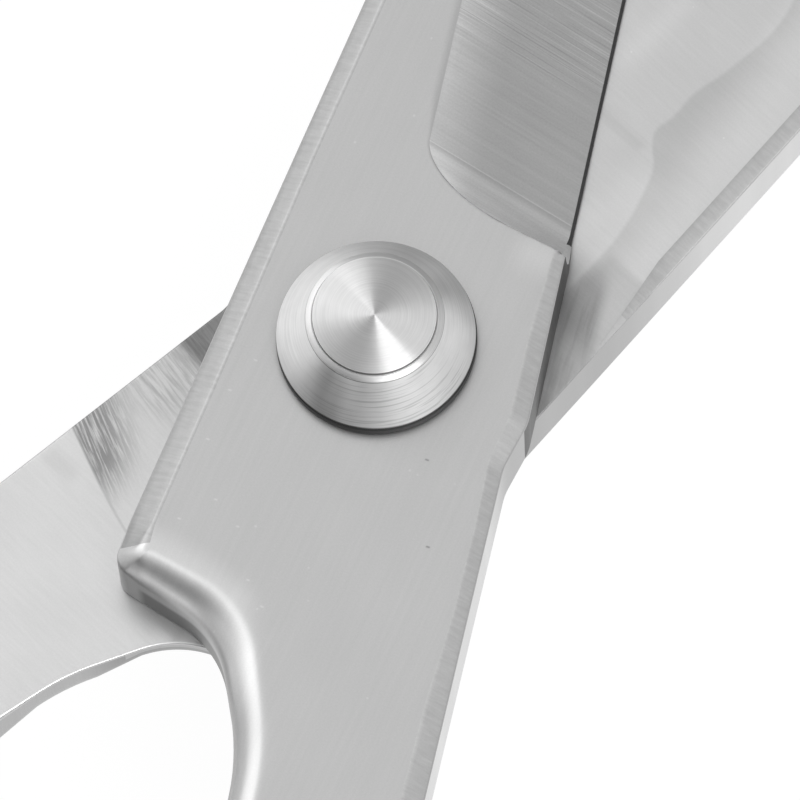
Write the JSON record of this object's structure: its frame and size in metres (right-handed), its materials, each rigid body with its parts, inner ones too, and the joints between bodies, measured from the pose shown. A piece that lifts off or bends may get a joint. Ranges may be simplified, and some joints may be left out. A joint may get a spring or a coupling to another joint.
{
  "type": "trimming scissors",
  "caption": "Open all-metal trimming scissors: two forged halves with finger bows, ground blades and a bolted pivot with a tall conical turned head.",
  "frame": {"origin": "on the pivot axis, at the rear end face of the pivot bolt", "axes": "+Z along the pivot toward the turned head, +Y from the pivot toward the point midway between the blade tips, +X to the right with the front half's thumb bow at the lower right"},
  "size_m": [0.109, 0.1718, 0.0177],
  "materials": {
    "front_steel": "satin stainless, cross ground on the bevel",
    "rear_steel": "satin stainless, hollow ground inner face",
    "bolt_steel": "turned, bright, with fine tool rings",
    "black_nylon": "matt black nylon",
    "bush_bronze": "sintered bronze",
    "joint_polymer": "natural acetal, matt",
    "washer_steel": "stamped stainless",
    "spring_steel": "darker spring steel",
    "nut_steel": "turned stainless"
  },
  "bodies": {
    "rear_body": {"rear_half": "rear_steel", "pivot_bolt": "bolt_steel", "head_washer": "black_nylon", "joint_washer": "joint_polymer", "rear_washer": "washer_steel", "spring_washer": "spring_steel", "pivot_nut": "nut_steel"},
    "front_body": {"front_half": "front_steel", "pivot_bush": "bush_bronze"}
  },
  "joints": [
    {"name": "pivot_hinge", "type": "hinge", "parent": "rear_body", "child": "front_body", "pos_m": [0, 0, 0.00951], "axis": [0, 0, 1], "range_deg": [-26.4, 36]}
  ]
}
